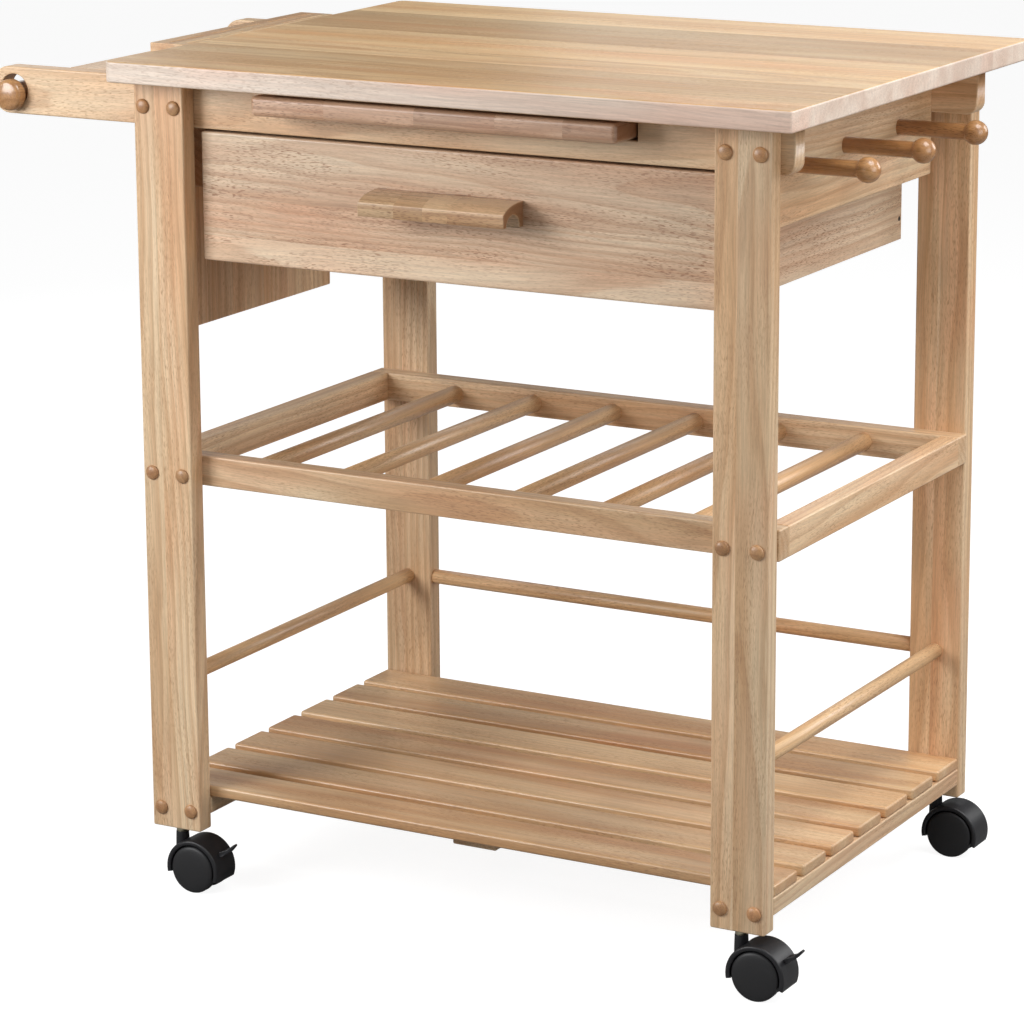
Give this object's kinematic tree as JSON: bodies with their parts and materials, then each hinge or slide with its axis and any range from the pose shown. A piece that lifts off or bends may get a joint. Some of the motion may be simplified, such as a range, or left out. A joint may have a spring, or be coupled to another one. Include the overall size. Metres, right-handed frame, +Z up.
{
  "type": "kitchen island cart",
  "caption": "Wooden kitchen island cart on swivel casters with a drawer, slide-out cutting board, bottle rack, slatted shelf, knife block, towel rod and pegs.",
  "frame": {"origin": "middle of the bounding box, on the floor", "axes": "+Z up, -Y to the front of the cart, where the drawer opens, +X to its right side, where the pegs are"},
  "size_m": [0.947, 0.572, 0.862],
  "materials": {
    "tabletop_wood": "satin clear lacquer on glued hardwood staves, warm golden",
    "frame_wood": "satin clear lacquer on pale hardwood with short dark pores",
    "drawer_wood": "satin clear lacquer on pale hardwood",
    "slat_wood": "satin clear lacquer on tan hardwood",
    "dowel_wood": "satin clear lacquer on pale dowels",
    "turned_wood": "glossier clear lacquer on turned hardwood, darker tan",
    "cutting_board_wood": "satin, edge-glued strips",
    "runner_wood": "bare planed hardwood",
    "panel_wood": "thin plywood panel",
    "caster_plastic": "matte black moulded",
    "wheel_plastic": "matte black moulded",
    "stem_steel": "zinc plated, turned",
    "lever_plastic": "matte black moulded"
  },
  "bodies": {
    "frame": {"tabletop": "tabletop_wood", "leg_front_left": "frame_wood", "leg_front_right": "frame_wood", "leg_rear_left": "frame_wood", "leg_rear_right": "frame_wood", "front_rail": "frame_wood", "rear_rail": "frame_wood", "apron_left": "frame_wood", "apron_right": "frame_wood", "peg_1": "turned_wood", "peg_2": "turned_wood", "peg_3": "turned_wood", "board_guide_left": "runner_wood", "board_guide_right": "runner_wood", "drawer_runner_left": "runner_wood", "drawer_runner_right": "runner_wood", "rack_front_rail": "frame_wood", "rack_rear_rail": "frame_wood", "rack_side_rail_left": "frame_wood", "rack_side_rail_right": "frame_wood", "rack_dowel_1": "dowel_wood", "rack_dowel_2": "dowel_wood", "rack_dowel_3": "dowel_wood", "rack_dowel_4": "dowel_wood", "rack_dowel_5": "dowel_wood", "rack_dowel_6": "dowel_wood", "slat_1": "slat_wood", "slat_2": "slat_wood", "slat_3": "slat_wood", "slat_4": "slat_wood", "slat_5": "slat_wood", "slat_6": "slat_wood", "slat_7": "slat_wood", "slat_support_left": "frame_wood", "slat_support_right": "frame_wood", "slat_support_middle": "frame_wood", "guard_dowel_left": "dowel_wood", "guard_dowel_right": "dowel_wood", "guard_dowel_rear": "dowel_wood", "knife_block": "cutting_board_wood", "side_board": "frame_wood", "knife_guard": "frame_wood"},
    "drawer": {"drawer_front": "drawer_wood", "drawer_side_left": "drawer_wood", "drawer_side_right": "drawer_wood", "drawer_back": "drawer_wood", "drawer_bottom": "panel_wood", "drawer_handle": "drawer_wood"},
    "cutting_board": {"cutting_board": "cutting_board_wood"},
    "towel_rod": {"towel_rod": "turned_wood"},
    "caster_hood_front_left": {"caster_hood_front_left": "caster_plastic"},
    "caster_wheels_front_left": {"caster_wheels_front_left": "wheel_plastic"},
    "caster_hood_front_right": {"caster_hood_front_right": "caster_plastic"},
    "caster_wheels_front_right": {"caster_wheels_front_right": "wheel_plastic"},
    "caster_hood_rear_left": {"caster_hood_rear_left": "caster_plastic"},
    "caster_wheels_rear_left": {"caster_wheels_rear_left": "wheel_plastic"},
    "caster_hood_rear_right": {"caster_hood_rear_right": "caster_plastic"},
    "caster_wheels_rear_right": {"caster_wheels_rear_right": "wheel_plastic"},
    "brake_lever_left": {"brake_lever_left": "lever_plastic"},
    "brake_lever_right": {"brake_lever_right": "lever_plastic"}
  },
  "joints": [
    {"name": "drawer_slide", "type": "slide", "parent": "frame", "child": "drawer", "axis": [0, -1, 0], "range_m": [0, 0.3]},
    {"name": "cutting_board_slide", "type": "slide", "parent": "frame", "child": "cutting_board", "axis": [0, -1, 0], "range_m": [0, 0.36]},
    {"name": "towel_rod_slide", "type": "slide", "parent": "frame", "child": "towel_rod", "axis": [0, -1, 0], "range_m": [0, 0.44]},
    {"name": "swivel_front_left", "type": "hinge", "parent": "frame", "child": "caster_hood_front_left", "pos_m": [-0.2565, -0.2405, 0.0645], "axis": [0, 0, 1], "continuous": true},
    {"name": "wheel_spin_front_left", "type": "hinge", "parent": "caster_hood_front_left", "child": "caster_wheels_front_left", "pos_m": [-0.2345, -0.2405, 0.025], "axis": [0, 1, 0], "continuous": true},
    {"name": "swivel_front_right", "type": "hinge", "parent": "frame", "child": "caster_hood_front_right", "pos_m": [0.3855, -0.2405, 0.0645], "axis": [0, 0, 1], "continuous": true},
    {"name": "wheel_spin_front_right", "type": "hinge", "parent": "caster_hood_front_right", "child": "caster_wheels_front_right", "pos_m": [0.4075, -0.2405, 0.025], "axis": [0, 1, 0], "continuous": true},
    {"name": "swivel_rear_left", "type": "hinge", "parent": "frame", "child": "caster_hood_rear_left", "pos_m": [-0.2565, 0.2305, 0.0645], "axis": [0, 0, 1], "continuous": true},
    {"name": "wheel_spin_rear_left", "type": "hinge", "parent": "caster_hood_rear_left", "child": "caster_wheels_rear_left", "pos_m": [-0.2345, 0.2305, 0.025], "axis": [0, 1, 0], "continuous": true},
    {"name": "swivel_rear_right", "type": "hinge", "parent": "frame", "child": "caster_hood_rear_right", "pos_m": [0.3855, 0.2305, 0.0645], "axis": [0, 0, 1], "continuous": true},
    {"name": "wheel_spin_rear_right", "type": "hinge", "parent": "caster_hood_rear_right", "child": "caster_wheels_rear_right", "pos_m": [0.4075, 0.2305, 0.025], "axis": [0, 1, 0], "continuous": true},
    {"name": "brake_press_left", "type": "hinge", "parent": "caster_hood_front_left", "child": "brake_lever_left", "pos_m": [-0.20584, -0.2405, 0.04291], "axis": [0, 1, 0], "range_deg": [0, 20]},
    {"name": "brake_press_right", "type": "hinge", "parent": "caster_hood_front_right", "child": "brake_lever_right", "pos_m": [0.43616, -0.2405, 0.04291], "axis": [0, 1, 0], "range_deg": [0, 20]}
  ]
}
